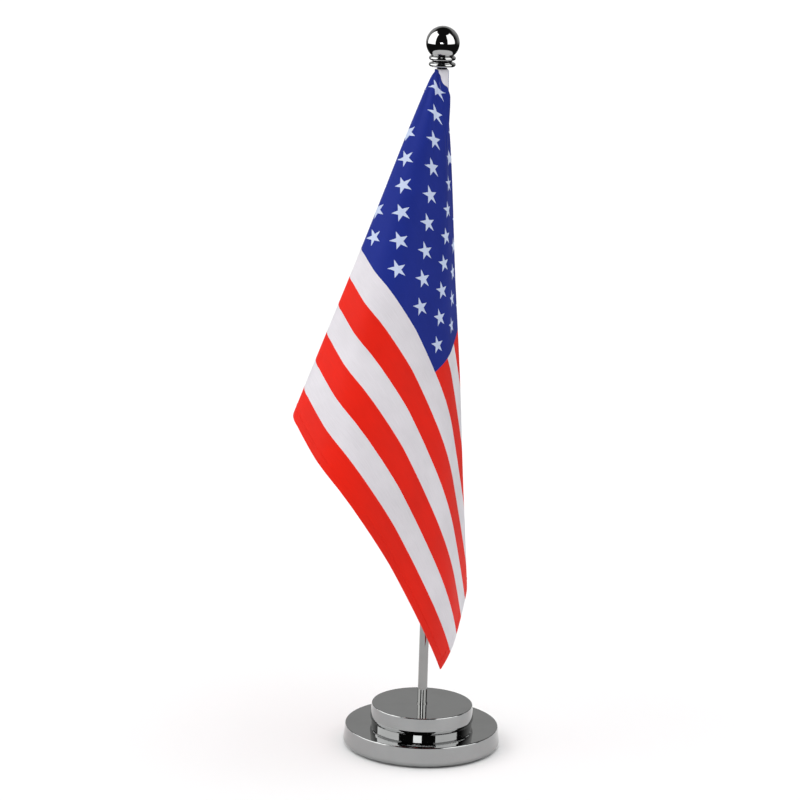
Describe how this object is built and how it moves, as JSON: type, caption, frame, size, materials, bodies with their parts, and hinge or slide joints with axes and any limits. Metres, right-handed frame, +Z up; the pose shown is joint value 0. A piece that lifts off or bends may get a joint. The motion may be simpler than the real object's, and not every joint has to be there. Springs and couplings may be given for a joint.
{
  "type": "desk flag stand",
  "caption": "Desk flag stand: weighted two-tier round chrome base, thin rod with a ball finial, and a draped flag that turns on the rod.",
  "frame": {"origin": "centre of the foam pad's underside, on the table, on the rod's axis", "axes": "+Z up along the rod, -Y towards the viewer of the flag's front, -X towards the side where the flag hangs out"},
  "size_m": [0.0897, 0.0968, 0.3044],
  "materials": {
    "pad": "matt black foam pad",
    "plain_steel": "plain zinc-plated steel",
    "chrome_discs": "polished chrome plating",
    "ballast": "rough dark casting",
    "nylon": "white nylon",
    "chrome_rod": "polished chrome plating",
    "chrome_finial": "polished chrome plating",
    "header_cloth": "white woven polyester tape",
    "flag_cloth": "printed satin polyester in red, white and blue"
  },
  "bodies": {
    "base": {"base_pad": "pad", "bottom_plate": "plain_steel", "lower_disc": "chrome_discs", "ballast_plate": "ballast", "pole_nut": "plain_steel", "lock_washer": "plain_steel", "disc_screws": "plain_steel", "upper_disc": "chrome_discs", "upper_ballast": "ballast", "pole_bush": "nylon"},
    "pole_foot": {"foot_ferrule": "chrome_rod"},
    "pole": {"pole": "chrome_rod"},
    "flag": {"flag_sleeve": "header_cloth", "flag": "flag_cloth"},
    "finial_thread": {"finial_stud": "plain_steel"},
    "finial": {"finial_collar": "chrome_finial", "finial_ball": "chrome_finial"}
  },
  "joints": [
    {"name": "pole_rise", "type": "slide", "parent": "base", "child": "pole_foot", "axis": [0, 0, 1], "range_m": [0, 0.0035]},
    {"name": "pole_turn", "type": "hinge", "parent": "pole_foot", "child": "pole", "pos_m": [0, 0, 0.02], "axis": [0, 0, 1], "range_deg": [0, 1801]},
    {"name": "flag_swivel", "type": "hinge", "parent": "pole", "child": "flag", "pos_m": [0, 0, 0.2], "axis": [0, 0, 1], "continuous": true},
    {"name": "finial_rise", "type": "slide", "parent": "pole", "child": "finial_thread", "axis": [0, 0, 1], "range_m": [0, 0.003]},
    {"name": "finial_turn", "type": "hinge", "parent": "finial_thread", "child": "finial", "pos_m": [0, 0, 0.29], "axis": [0, 0, 1], "range_deg": [0, 2161]}
  ],
  "couplings": [
    {"joint": "pole_turn", "follows": "pole_rise", "rad_per_m": 8976},
    {"joint": "finial_turn", "follows": "finial_rise", "rad_per_m": 12566}
  ]
}
